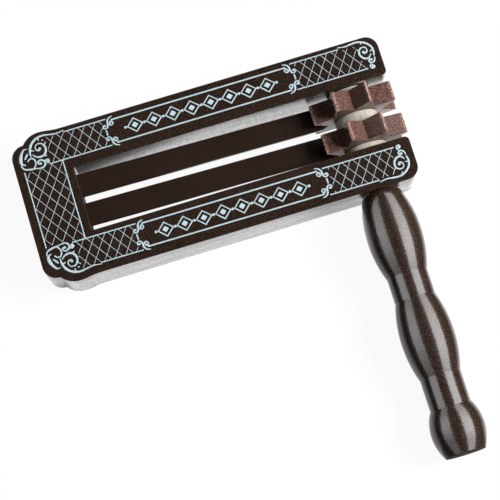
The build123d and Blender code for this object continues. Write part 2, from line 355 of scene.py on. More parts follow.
def bare_wood_material(name, finish):
    """Sanded bare beech for the spacers and the axle."""
    material, add = start_material(name)
    place = add("ShaderNodeTexCoord").outputs["Object"]
    along = add("ShaderNodeMapping", {"Vector": place, "Scale": (1.0, 1.0 / FLECK_STRETCH, 1.0)})
    flecks, _, colour = mottle(add, along, **FLECKS, tones=(finish.bare_wood, finish.bare_grain))
    bump = add("ShaderNodeBump", {"Height": flecks, "Distance": FLECK_HEIGHT_MM * MM})
    links = {"Base Color": colour, "Roughness": BARE_ROUGHNESS, "IOR": FINISH_IOR, "Normal": bump}
    shader = add("ShaderNodeBsdfPrincipled", links)
    add("ShaderNodeOutputMaterial", {"Surface": shader})
    return material


# Silver screen-printing ink. It is pale, dull and a little thin in places.
INK_GRAIN = {"size_mm": 0.5, "detail": 2.0, "start": 0.3, "end": 0.55}
INK_THIN = 0.82
INK_ROUGHNESS = 0.5


def ink_material(name, finish):
    """Silver screen-printing ink."""
    material, add = start_material(name)
    place = add("ShaderNodeTexCoord").outputs["Object"]
    thin = tuple(channel * INK_THIN for channel in finish.ink)
    colour = mottle(add, place, **INK_GRAIN, tones=(thin, finish.ink))[-1]
    links = {"Base Color": colour, "Roughness": INK_ROUGHNESS, "IOR": FINISH_IOR}
    shader = add("ShaderNodeBsdfPrincipled", links)
    add("ShaderNodeOutputMaterial", {"Surface": shader})
    return material


# Drawn steel wire, cut to length. It is grey and satin, a little uneven from the die.
STEEL_GRAIN_MM = 0.3
STEEL_DETAIL = 2.0
STEEL_SMOOTH = 0.25
STEEL_ROUGH = 0.5


def steel_material(name, finish):
    """Drawn steel wire of the brads and pins."""
    material, add = start_material(name)
    place = add("ShaderNodeTexCoord").outputs["Object"]
    links = {"Vector": place, "Scale": per_metre(STEEL_GRAIN_MM), "Detail": STEEL_DETAIL}
    grain = add("ShaderNodeTexNoise", links)
    rough = add("ShaderNodeMapRange", {"Value": grain, "To Min": STEEL_SMOOTH, "To Max": STEEL_ROUGH})
    links = {"Base Color": rgba(finish.steel), "Metallic": 1.0, "Roughness": rough}
    shader = add("ShaderNodeBsdfPrincipled", links)
    add("ShaderNodeOutputMaterial", {"Surface": shader})
    return material


def dress(node, material):
    """Puts a material on a CAD node, which keeps its shape."""
    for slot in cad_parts[node].material_slots:
        slot.material = material


class NOISEMAKER_OT_body(bpy.types.Operator):
    """Lacquer the frame and the handle"""

    bl_idname = "noisemaker.body"
    bl_label = "Frame and Handle"

    def execute(self, context):
        finish = context.scene.noisemaker_finish
        dress("frame", lacquer_material("frame_lacquer", finish, **FRAME_LACQUER))
        ends = (handle_low.y, handle_high.y)
        dress("handle", lacquer_material("handle_lacquer", finish, **HANDLE_LACQUER, ends=ends))
        return {"FINISHED"}


class NOISEMAKER_OT_wheels(bpy.types.Operator):
    """Stain the star wheels and finish the spacers, the axle, the brads and the pins"""

    bl_idname = "noisemaker.wheels"
    bl_label = "Wheels and Fittings"

    def execute(self, context):
        finish = context.scene.noisemaker_finish
        stain = stain_material("stained_beech", finish)
        bare = bare_wood_material("sanded_beech", finish)
        steel = steel_material("drawn_steel", finish)
        for node in ("upper_ratchet_wheel", "lower_ratchet_wheel"):
            dress(node, stain)
        for node in ("upper_spacer", "centre_spacer", "lower_spacer", "axle"):
            dress(node, bare)
        for node in ("tongue_brads", "wheel_pins", "handle_pin"):
            dress(node, steel)
        return {"FINISHED"}


class NOISEMAKER_OT_tongues(bpy.types.Operator):
    """Make the two springy tongues, which slope down from the closed end towards the wheels"""

    bl_idname = "noisemaker.tongues"
    bl_label = "Tongues"

    # Spacing of the rings along a strip, steps round one of its edges, and the angle of a sharp edge
    station_mm = 2.0
    corner_steps = 3
    sharp_angle = radians(50.0)

    def execute(self, context):
        size = context.scene.noisemaker_tongue
        lacquer = lacquer_material("tongue_lacquer", context.scene.noisemaker_finish, **TONGUE_LACQUER)
        for node in ("upper_tongue", "lower_tongue"):
            low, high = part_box(node)
            tail_end = Vector((low.x + size.thickness * sin(size.slope), (low.y + high.y) / 2, high.z))
            length = (high.x - tail_end.x) / cos(size.slope)
            strip = bpy.data.objects.new(f"{node}_strip", self.strip_mesh(node, size, tail_end, length))
            strip.data.materials.append(lacquer)
            context.scene.collection.objects.link(strip)
            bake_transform(strip)
            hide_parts(node)
        return {"FINISHED"}

    def strip_mesh(self, node, size, tail_end, length):
        """A strip with rounded long edges and a bevel under its tip, in rings along its length."""
        run = Vector((cos(size.slope), 0.0, -sin(size.slope)))
        up = Vector((sin(size.slope), 0.0, cos(size.slope)))
        count = round(length / (self.station_mm * MM))
        stations = [length * i / count for i in range(count + 1)] + [length - size.bevel]
        shape = bmesh.new()
        rings = []
        for station in sorted(stations):
            past_bevel = max(0.0, station - (length - size.bevel)) / size.bevel
            thickness = size.thickness + (size.tip_thickness - size.thickness) * past_bevel
            middle = tail_end + run * station - up * (thickness / 2)
            ring = []
            for across, rise in self.section(size, thickness):
                ring.append(shape.verts.new(middle + Vector((0.0, across, 0.0)) + up * rise))
            rings.append(ring)
        for near, far in zip(rings, rings[1:]):
            for i in range(len(near)):
                j = (i + 1) % len(near)
                shape.faces.new((near[i], near[j], far[j], far[i]))
        shape.faces.new(rings[0])
        shape.faces.new(rings[-1])
        bmesh.ops.recalc_face_normals(shape, faces=shape.faces)
        mesh = bpy.data.meshes.new(f"{node}_strip")
        shape.to_mesh(mesh)
        shape.free()
        mesh.shade_smooth()
        mesh.set_sharp_from_angle(angle=self.sharp_angle)
        return mesh

    def section(self, size, thickness):
        """Points round a strip's section: across it, and up from its middle."""
        points = []
        for corner in range(4):
            side = 1 if corner in (0, 3) else -1
            level = 1 if corner in (0, 1) else -1
            for step in range(self.corner_steps + 1):
                angle = (corner + step / self.corner_steps) * pi / 2
                across = side * (size.width / 2 - size.rounding) + size.rounding * cos(angle)
                rise = level * (thickness / 2 - size.rounding) + size.rounding * sin(angle)
                points.append((across, rise))
        return points


# Printed ornament in millimetres: x from the closed end, y from the slot's middle line, and the width
# of the stroke at each point. The closed end's scroll, the open end's scroll and a panel's end are drawn
# for the far arm, and the near arm has their mirror image.
CLOSED_END_SCROLL = (
    (
        (22.0, 28.1, 0.35), (19.0, 27.75, 0.55), (16.0, 28.15, 0.7), (13.5, 28.5, 0.85),
        (11.0, 28.0, 1.0), (9.0, 26.6, 1.05), (7.9, 24.9, 1.0), (7.4, 23.2, 0.8), (7.4, 21.7, 0.5),
    ),
    ((11.7, 27.8, 0.7), (11.9, 26.9, 0.3)),
    ((8.2, 23.8, 0.7), (9.1, 23.5, 0.3)),
    (
        (8.2, 22.1, 0.35), (9.3, 21.0, 0.7), (11.0, 20.5, 0.9), (12.7, 21.1, 0.95), (13.6, 22.7, 0.9),
        (13.4, 24.5, 0.75), (12.2, 25.7, 0.55), (10.6, 25.6, 0.5), (9.9, 24.5, 0.5), (10.2, 23.5, 0.7),
        (11.0, 23.2, 0.9), (11.5, 23.75, 1.0),
    ),
    ((13.2, 24.5, 0.6), (14.4, 25.7, 0.3)),
    (
        (6.6, 25.0, 0.3), (5.2, 24.9, 0.7), (4.3, 23.8, 1.0), (3.4, 22.2, 1.35), (3.1, 20.5, 1.4),
        (3.4, 19.4, 0.9), (4.5, 19.0, 0.5),
    ),
    ((2.9, 18.9, 0.5), (3.5, 17.6, 0.7), (5.2, 16.9, 0.8), (7.0, 16.6, 0.75), (7.8, 16.6, 0.4)),
    (
        (7.5, 16.9, 0.5), (8.4, 18.1, 0.6), (8.5, 19.7, 0.6), (7.5, 20.9, 0.6), (6.3, 20.6, 0.6),
        (5.8, 20.1, 0.6),
    ),
    (
        (7.7, 16.6, 0.5), (9.4, 16.2, 0.6), (11.0, 16.3, 0.7), (11.95, 17.3, 0.75), (11.7, 18.6, 0.75),
        (10.4, 19.3, 0.7), (9.4, 18.8, 0.65), (9.5, 18.0, 0.7), (10.3, 17.9, 1.0),
    ),
    ((11.9, 17.2, 0.5), (12.1, 18.2, 0.6), (12.8, 18.8, 0.75), (13.5, 18.4, 0.9), (13.2, 17.8, 1.3)),
    ((6.3, 23.0, 0.5), (5.6, 22.1, 0.9), (4.9, 21.2, 0.5)),
    ((13.3, 26.7, 0.66), (13.35, 26.7, 0.66)),
    ((13.1, 20.4, 0.66), (13.15, 20.4, 0.66)),
)
OPEN_END_SCROLL = (
    (
        (132.9, 28.3, 0.4), (135.5, 27.9, 0.6), (138.0, 28.2, 0.75), (140.3, 28.3, 0.85),
        (142.6, 27.6, 0.9), (144.4, 26.2, 0.9), (145.4, 24.5, 0.85), (145.6, 22.8, 0.75),
        (145.3, 21.5, 0.6),
    ),
    ((141.7, 27.8, 0.7), (141.9, 27.0, 0.3)),
    ((145.2, 23.6, 0.7), (144.2, 23.4, 0.3)),
    (
        (144.3, 22.2, 0.4), (143.2, 21.0, 0.7), (142.0, 20.9, 0.85), (140.7, 21.7, 0.9),
        (140.0, 23.2, 0.85), (140.2, 24.7, 0.75), (141.3, 25.6, 0.6), (142.7, 25.5, 0.55),
        (143.3, 24.5, 0.5), (142.9, 23.4, 0.65), (142.0, 23.2, 0.95), (141.75, 23.75, 1.1),
    ),
    ((140.3, 24.6, 0.6), (139.3, 25.5, 0.3)),
    (
        (145.3, 20.7, 0.45), (145.1, 19.7, 0.6), (144.3, 18.9, 0.7), (143.3, 18.8, 0.7),
        (142.8, 19.5, 0.7), (143.1, 20.2, 0.7), (143.8, 20.0, 1.0),
    ),
    (
        (143.2, 18.3, 0.45), (142.7, 17.6, 0.6), (142.8, 16.9, 0.7), (143.6, 16.6, 0.8),
        (144.1, 17.2, 0.8), (143.6, 17.5, 1.0),
    ),
)
PANEL_END_HALF = (
    (
        (41.4, 28.0, 0.4), (40.1, 27.6, 0.6), (39.3, 26.6, 0.75), (39.1, 25.4, 0.75), (38.8, 24.3, 0.65),
        (38.1, 23.8, 0.6), (37.2, 24.2, 0.6), (37.4, 25.0, 0.75), (38.0, 24.9, 0.8),
    ),
    (
        (39.4, 25.5, 0.4), (39.7, 24.9, 0.5), (40.5, 24.6, 0.55), (41.2, 25.2, 0.55), (41.0, 26.0, 0.6),
        (40.3, 26.0, 0.7), (40.1, 25.4, 0.7),
    ),
    ((38.0, 22.9, 0.6), (38.0, 22.3, 0.6)),
)
PANEL_LINES = (((41.0, 26.7, 0.66), (110.7, 26.7, 0.66)), ((41.0, 17.3, 0.66), (110.7, 17.3, 0.66)))
BAND_LINES = (
    ((22.3, 27.5, 0.5), (38.7, 27.5, 0.5)),
    ((13.8, 16.8, 0.5), (38.5, 16.8, 0.5)),
    ((113.2, 27.6, 0.5), (132.5, 27.6, 0.5)),
    ((113.2, 16.85, 0.5), (141.5, 16.85, 0.5)),
)
END_LINES = (((3.4, -14.6, 0.5), (3.4, 16.0, 0.5)), ((18.7, -15.3, 0.5), (18.7, 16.8, 0.5)))
PANEL_MIDDLE_X = 75.8
PANEL_MIDDLE_Y = 22.05
# The print lies a little askew: its middle line starts off the slot's and falls along the arms, and the
# near arm's print is a little shorter
PRINT_MIDDLE_START = 0.7
PRINT_MIDDLE_FALL = 0.0023
NEAR_ARM_LENGTH = 0.9965
PRINT_OFFSET_MM = 0.12
print_y = slot_y + PRINT_OFFSET_MM * MM

# Lattice areas: left, right, bottom and top, and one crossing of the lines
LATTICE_AREAS = (
    (14.5, 37.0, 16.8, 27.3, 16.4, 25.3),
    (14.5, 37.0, -26.2, -15.3, 16.4, -17.9),
    (3.4, 14.0, -14.2, 15.7, 8.0, 1.0),
    (14.0, 18.7, -15.4, 16.8, 8.0, 1.0),
    (114.7, 133.0, 16.9, 27.4, 126.8, 25.5),
    (133.0, 139.0, 16.9, 26.9, 126.8, 25.5),
    (139.0, 141.5, 16.9, 20.5, 126.8, 25.5),
    (114.7, 133.0, -26.8, -16.1, 130.6, -18.5),
    (133.0, 139.0, -26.3, -16.1, 130.6, -18.5),
    (139.0, 141.3, -20.0, -16.1, 130.6, -18.5),
)
AREA_EDGES = ("left", "right", "bottom", "top", "cross_x", "cross_y")


def near_arm(stroke):
    """A stroke of the far arm's print, mirrored on to the near arm."""
    points = []
    for x, y, width in stroke:
        middle = PRINT_MIDDLE_START - PRINT_MIDDLE_FALL * x
        points.append((NEAR_ARM_LENGTH * x, 2 * middle - y, width))
    return tuple(points)


def other_end(stroke):
    """A stroke at a panel's closed end, mirrored on to its open end."""
    return tuple((2 * PANEL_MIDDLE_X - x, y, width) for x, y, width in stroke)


def other_half(stroke):
    """A stroke in the upper half of a panel's end, mirrored on to its lower half."""
    return tuple((x, 2 * PANEL_MIDDLE_Y - y, width) for x, y, width in stroke)


def print_strokes():
    """All the strokes of the print's scrolls and lines."""
    quarter = PANEL_END_HALF + tuple(other_half(stroke) for stroke in PANEL_END_HALF)
    panel = quarter + tuple(other_end(stroke) for stroke in quarter)
    far = CLOSED_END_SCROLL + OPEN_END_SCROLL + panel + PANEL_LINES + BAND_LINES
    return far + tuple(near_arm(stroke) for stroke in far) + END_LINES


def start_tree(name, inputs):
    """A new geometry tree with its named inputs, the function that adds nodes to it, and what it is given."""
    tree = bpy.data.node_groups.new(name, "GeometryNodeTree")
    tree.interface.new_socket("Geometry", in_out="INPUT", socket_type="NodeSocketGeometry")
    tree.interface.new_socket("Geometry", in_out="OUTPUT", socket_type="NodeSocketGeometry")
    for label, kind in inputs.items():
        tree.interface.new_socket(label, in_out="INPUT", socket_type=kind)
    add = partial(add_node, tree)
    return tree, add, add("NodeGroupInput").outputs


def end_tree(add, given, geometry):
    """Presses a print's round strokes flat on the frame's face, inks them and ends the tree."""
    solid = add("GeometryNodeRealizeInstances", {"Geometry": geometry})
    place = add("GeometryNodeInputPosition")
    squash = add("ShaderNodeCombineXYZ", {"X": 1.0, "Y": 1.0, "Z": given["Ink Height"]})
    level = add("ShaderNodeCombineXYZ", {"Z": given["Level"]})
    flat = add("ShaderNodeVectorMath", {0: place, 1: squash, 2: level}, operation="MULTIPLY_ADD")
    pressed = add("GeometryNodeSetPosition", {"Geometry": solid, "Position": flat})
    inked = add("GeometryNodeSetMaterial", {"Geometry": pressed, "Material": given["Ink"]})
    add("NodeGroupOutput", {"Geometry": inked})


PRINT_INPUTS = {"Ink Height": "NodeSocketFloat", "Level": "NodeSocketFloat", "Ink": "NodeSocketMaterial"}
LATTICE_INPUTS = {"Count": "NodeSocketInt", **dict.fromkeys(("Width", "Height", "Line"), "NodeSocketFloat")}
LOZENGE_INPUTS = {**LATTICE_INPUTS, "Pitch": "NodeSocketFloat", "Dot": "NodeSocketFloat"}
STROKE_SIDES = 6
STROKE_STEPS = 8
DOT_SEGMENTS = 10
DOT_RINGS = 6


def stroke_tree():
    """Strokes of changing width with round ends, drawn along the edges of a mesh."""
    tree, add, given = start_tree("printed_strokes", PRINT_INPUTS)
    half = add("GeometryNodeInputNamedAttribute", {"Name": "half_width"}, data_type="FLOAT")
    line = add("GeometryNodeMeshToCurve", {"Mesh": given["Geometry"]})
    line = add("GeometryNodeCurveSplineType", {"Curve": line}, spline_type="CATMULL_ROM")
    line = add("GeometryNodeSetSplineResolution", {"Geometry": line, "Resolution": STROKE_STEPS})
    ring = add("GeometryNodeCurvePrimitiveCircle", {"Resolution": STROKE_SIDES, "Radius": 1.0})
    links = {"Curve": line, "Profile Curve": ring, "Scale": half, "Fill Caps": True}
    body = add("GeometryNodeCurveToMesh", links)
    ends = add("GeometryNodeCurveEndpointSelection")
    ball = add("GeometryNodeMeshUVSphere", {"Segments": DOT_SEGMENTS, "Rings": DOT_RINGS, "Radius": 1.0})
    links = {"Points": line, "Selection": ends, "Instance": ball, "Scale": half}
    balls = add("GeometryNodeInstanceOnPoints", links)
    end_tree(add, given, add("GeometryNodeJoinGeometry", {"Geometry": [body, balls]}))
    return tree


# A cut lattice line shorter than this is left out
SHORTEST_LINE_MM = 0.1


def lattice_tree():
    """Two slants of evenly spaced lines, cut to the areas that the mesh's points describe."""
    tree, add, given = start_tree("printed_lattice", {**PRINT_INPUTS, **LATTICE_INPUTS})
    both_slants = add("ShaderNodeMath", {0: given["Count"], 1: 2.0}, operation="MULTIPLY")
    areas = add("GeometryNodeMeshToPoints", {"Mesh": given["Geometry"]})
    links = {"Geometry": areas, "Amount": both_slants}
    copies = add("GeometryNodeDuplicateElements", links, domain="POINT").outputs
    values = {label.lower(): given[label] for label in LATTICE_INPUTS}
    values["copy"] = copies["Duplicate Index"]
    for edge in AREA_EDGES:
        values[edge] = add("GeometryNodeInputNamedAttribute", {"Name": edge}, data_type="FLOAT")
    steps = (
        ("odd", "MODULO", ("copy", 2.0)),
        ("slant", "MULTIPLY_ADD", ("odd", 2.0, -1.0)),
        ("pair", "DIVIDE", ("copy", 2.0)),
        ("row", "FLOOR", ("pair",)),
        ("half_count", "MULTIPLY", ("count", 0.5)),
        ("whole_half", "FLOOR", ("half_count",)),
        ("number", "SUBTRACT", ("row", "whole_half")),
        ("line_x", "MULTIPLY_ADD", ("number", "width", "cross_x")),
        ("steepness", "DIVIDE", ("height", "width")),
        ("slope", "MULTIPLY", ("steepness", "slant")),
        ("left_run", "SUBTRACT", ("left", "line_x")),
        ("left_y", "MULTIPLY_ADD", ("left_run", "slope", "cross_y")),
        ("right_run", "SUBTRACT", ("right", "line_x")),
        ("right_y", "MULTIPLY_ADD", ("right_run", "slope", "cross_y")),
        ("lower_y", "MINIMUM", ("left_y", "right_y")),
        ("upper_y", "MAXIMUM", ("left_y", "right_y")),
        ("start_y", "MAXIMUM", ("lower_y", "bottom")),
        ("end_y", "MINIMUM", ("upper_y", "top")),
        ("rise", "SUBTRACT", ("end_y", "start_y")),
        ("run", "DIVIDE", ("rise", "slope")),
        ("start_rise", "SUBTRACT", ("start_y", "cross_y")),
        ("start_run", "DIVIDE", ("start_rise", "slope")),
        ("start_x", "ADD", ("line_x", "start_run")),
        ("shown", "GREATER_THAN", ("rise", SHORTEST_LINE_MM * MM)),
        ("half_line", "MULTIPLY", ("line", 0.5)),
    )
    for result, operation, terms in steps:
        links = {i: values[term] if isinstance(term, str) else term for i, term in enumerate(terms)}
        values[result] = add("ShaderNodeMath", links, operation=operation)
    start = add("ShaderNodeCombineXYZ", {"X": values["start_x"], "Y": values["start_y"]})
    placed = add("GeometryNodeSetPosition", {"Geometry": copies["Geometry"], "Position": start})
    points = add("GeometryNodePointsToVertices", {"Points": placed, "Selection": values["shown"]})
    offset = add("ShaderNodeCombineXYZ", {"X": values["run"], "Y": values["rise"]})
    links = {"Mesh": points, "Offset": offset, "Offset Scale": 1.0}
    lines = add("GeometryNodeExtrudeMesh", links, mode="VERTICES")
    curves = add("GeometryNodeMeshToCurve", {"Mesh": lines})
    links = {"Resolution": STROKE_SIDES, "Radius": values["half_line"]}
    ring = add("GeometryNodeCurvePrimitiveCircle", links)
    links = {"Curve": curves, "Profile Curve": ring, "Scale": 1.0, "Fill Caps": True}
    body = add("GeometryNodeCurveToMesh", links)
    end_tree(add, given, body)
    return tree


LOZENGE_CORE = 0.22
LOZENGE_SIDES = 4


def lozenge_tree():
    """A row of outlined lozenges with solid cores and dots between them, at each point of the mesh."""
    tree, add, given = start_tree("printed_lozenges", {**PRINT_INPUTS, **LOZENGE_INPUTS})
    values = {label.lower(): given[label] for label in LOZENGE_INPUTS}
    steps = (
        ("gaps", "SUBTRACT", ("count", 1.0)),
        ("row_length", "MULTIPLY", ("gaps", "pitch")),
        ("row_start", "MULTIPLY", ("row_length", -0.5)),
        ("dot_count", "ADD", ("count", 1.0)),
        ("dot_start", "MULTIPLY_ADD", ("pitch", -0.5, "row_start")),
        ("half_height", "MULTIPLY", ("height", 0.5)),
        ("half_line", "MULTIPLY", ("line", 0.5)),
        ("half_dot", "MULTIPLY", ("dot", 0.5)),
        ("core_width", "MULTIPLY", ("width", LOZENGE_CORE)),
        ("core_height", "MULTIPLY", ("height", LOZENGE_CORE)),
    )
    for result, operation, terms in steps:
        links = {i: values[term] if isinstance(term, str) else term for i, term in enumerate(terms)}
        values[result] = add("ShaderNodeMath", links, operation=operation)
    half_height = values["half_height"]
    links = {"Width": values["width"], "Bottom Height": half_height, "Top Height": half_height}
    outline = add("GeometryNodeCurvePrimitiveQuadrilateral", links, mode="KITE")
    links = {"Resolution": STROKE_SIDES, "Radius": values["half_line"]}
    ring = add("GeometryNodeCurvePrimitiveCircle", links)
    edge = add("GeometryNodeCurveToMesh", {"Curve": outline, "Profile Curve": ring, "Scale": 1.0})
    core = add("GeometryNodeMeshCylinder", {"Vertices": LOZENGE_SIDES, "Radius": 1.0, "Depth": 1.0})
    links = {"X": values["core_width"], "Y": values["core_height"], "Z": values["line"]}
    core_size = add("ShaderNodeCombineXYZ", links)
    core = add("GeometryNodeTransform", {"Geometry": core, "Scale": core_size})
    lozenge = add("GeometryNodeJoinGeometry", {"Geometry": [edge, core]})
    links = {"Segments": DOT_SEGMENTS, "Rings": DOT_RINGS, "Radius": values["half_dot"]}
    dot = add("GeometryNodeMeshUVSphere", links)
    offset = add("ShaderNodeCombineXYZ", {"X": values["pitch"]})
    row = []
    for count, start, shape in (("count", "row_start", lozenge), ("dot_count", "dot_start", dot)):
        first = add("ShaderNodeCombineXYZ", {"X": values[start]})
        links = {"Count": values[count], "Start Location": first, "Offset": offset}
        points = add("GeometryNodeMeshLine", links)
        row.append(add("GeometryNodeInstanceOnPoints", {"Points": points, "Instance": shape}))
    whole_row = add("GeometryNodeJoinGeometry", {"Geometry": row})
    rows = add("GeometryNodeInstanceOnPoints", {"Points": given["Geometry"], "Instance": whole_row})
    end_tree(add, given, rows)
    return tree


def grow(name, tree, mesh, values):
    """Runs a geometry tree on a mesh and keeps the result as a plain piece."""
    piece = bpy.data.objects.new(name, mesh)
    maker = piece.modifiers.new(name, "NODES")
    maker.node_group = tree
    for socket in tree.interface.items_tree:
        if socket.name in values:
            maker[socket.identifier] = values[socket.name]
    bpy.context.scene.collection.objects.link(piece)
    shown = piece.evaluated_get(bpy.context.evaluated_depsgraph_get())
    made = bpy.data.meshes.new_from_object(shown)
    made.name = name
    piece.modifiers.remove(maker)
    piece.data = made
    if not made.polygons:
        raise RuntimeError(f"{name} came out empty")
    return piece


class NOISEMAKER_OT_print(bpy.types.Operator):
    """Print scrolls, lines, lattice and lozenges on the frame's face"""

    bl_idname = "noisemaker.print"
    bl_label = "Print"

    def execute(self, context):
        size = context.scene.noisemaker_print
        ink = ink_material("silver_ink", context.scene.noisemaker_finish)
        shared = {"Ink Height": size.ink_height, "Level": top_z, "Ink": ink}
        lattice = {label: getattr(size, f"lattice_{label.lower()}") for label in LATTICE_INPUTS}
        lozenges = {label: getattr(size, f"lozenge_{label.lower()}") for label in LOZENGE_INPUTS}
        pieces = (
            grow("print_scrolls", stroke_tree(), self.stroke_mesh(), shared),
            grow("print_lattice", lattice_tree(), self.area_mesh(), {**shared, **lattice}),
            grow("print_lozenges", lozenge_tree(), self.panel_mesh(), {**shared, **lozenges}),
        )
        for piece in pieces:
            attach(piece, "frame")
        return {"FINISHED"}

    def stroke_mesh(self):
        """Edges along the strokes, with half of each stroke's width at its points."""
        points, edges, halves = [], [], []
        for stroke in print_strokes():
            start = len(points)
            for x, y, width in stroke:
                points.append((closed_x + x * MM, print_y + y * MM, 0.0))
                halves.append(width * MM / 2)
            edges.extend((i, i + 1) for i in range(start, len(points) - 1))
        mesh = bpy.data.meshes.new("print_strokes")
        mesh.from_pydata(points, edges, [])
        mesh.attributes.new("half_width", "FLOAT", "POINT").data.foreach_set("value", halves)
        return mesh

    def area_mesh(self):
        """One point for each lattice area, which carries its edges and one crossing."""
        mesh = bpy.data.meshes.new("print_areas")
        mesh.from_pydata([(0.0, 0.0, 0.0)] * len(LATTICE_AREAS), [], [])
        for i, edge in enumerate(AREA_EDGES):
            start = print_y if edge in ("bottom", "top", "cross_y") else closed_x
            edges = [start + area[i] * MM for area in LATTICE_AREAS]
            mesh.attributes.new(edge, "FLOAT", "POINT").data.foreach_set("value", edges)
        return mesh

    def panel_mesh(self):
        """One point in the middle of each long panel."""
        middle = ((PANEL_MIDDLE_X, PANEL_MIDDLE_Y, 0.0),)
        rows = middle + near_arm(middle)
        points = [(closed_x + x * MM, print_y + y * MM, 0.0) for x, y, _ in rows]
        mesh = bpy.data.meshes.new("print_panels")
        mesh.from_pydata(points, [], [])
        return mesh


BLACK = (0.0, 0.0, 0.0, 1.0)
WHITE = (1.0, 1.0, 1.0, 1.0)


